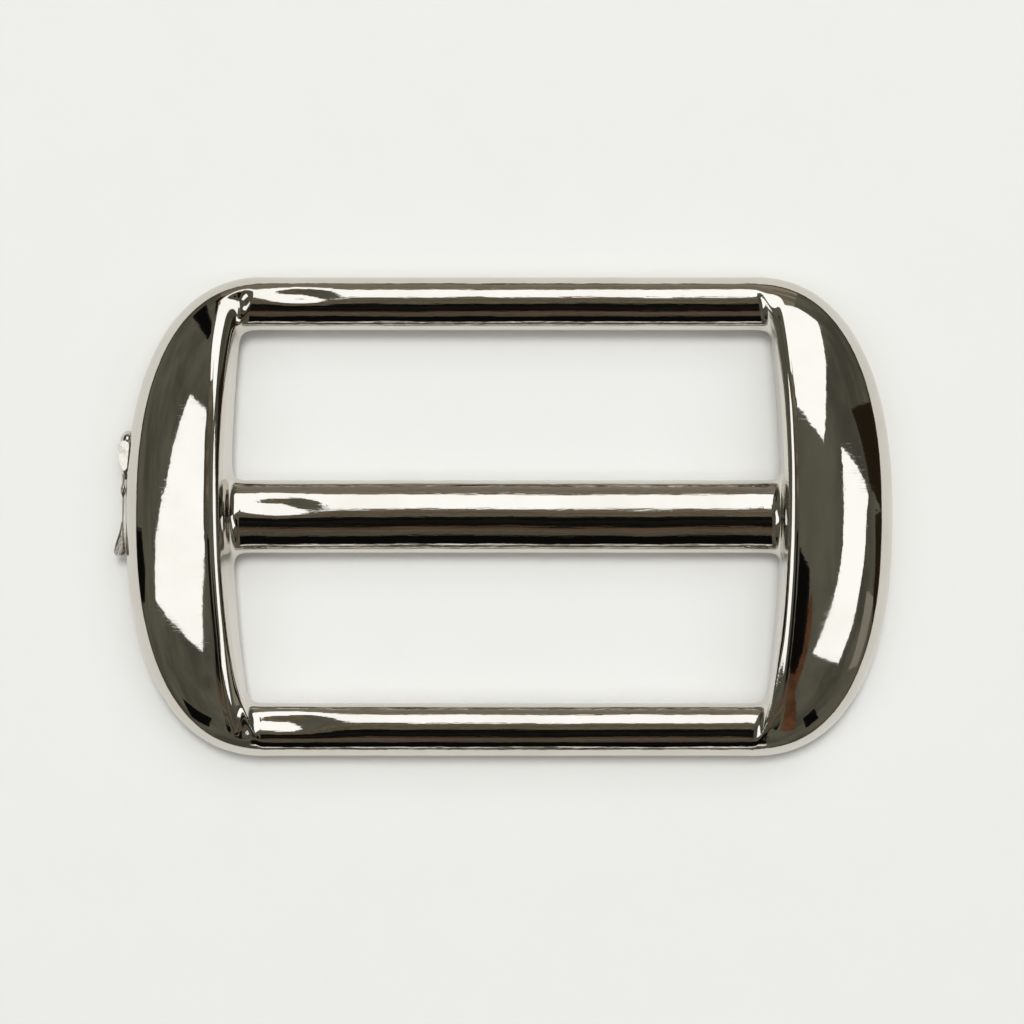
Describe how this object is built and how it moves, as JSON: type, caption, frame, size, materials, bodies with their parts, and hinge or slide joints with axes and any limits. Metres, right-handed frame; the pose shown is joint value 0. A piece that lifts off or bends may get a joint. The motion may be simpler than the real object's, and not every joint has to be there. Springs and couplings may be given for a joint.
{
  "type": "strap slider buckle",
  "caption": "Domed metal strap slider for flat webbing: rounded ends joined by a broad centre bar and slimmer outer rails, with a slot each side of the bar, flat on the back.",
  "frame": {"origin": "middle of the centre bar, on the casting's parting plane, 1.25 mm above the flat back", "axes": "+X across the strap, along the bars, towards the plain end; +Y along the strap; +Z out of the domed front"},
  "size_m": [0.0366, 0.0225, 0.0039],
  "materials": {
    "nickel_plate": "bright nickel plating on tumbled zinc, mirror-like with a slight orange peel",
    "torn_gate": "bright nickel plating over a rough torn break"
  },
  "bodies": {
    "root": {"left_end": "nickel_plate", "right_end": "nickel_plate", "upper_rail": "nickel_plate", "lower_rail": "nickel_plate", "centre_bar": "nickel_plate", "gate_drop_upper": "torn_gate", "gate_drop_lower": "torn_gate", "gate_web": "torn_gate"}
  },
  "joints": []
}
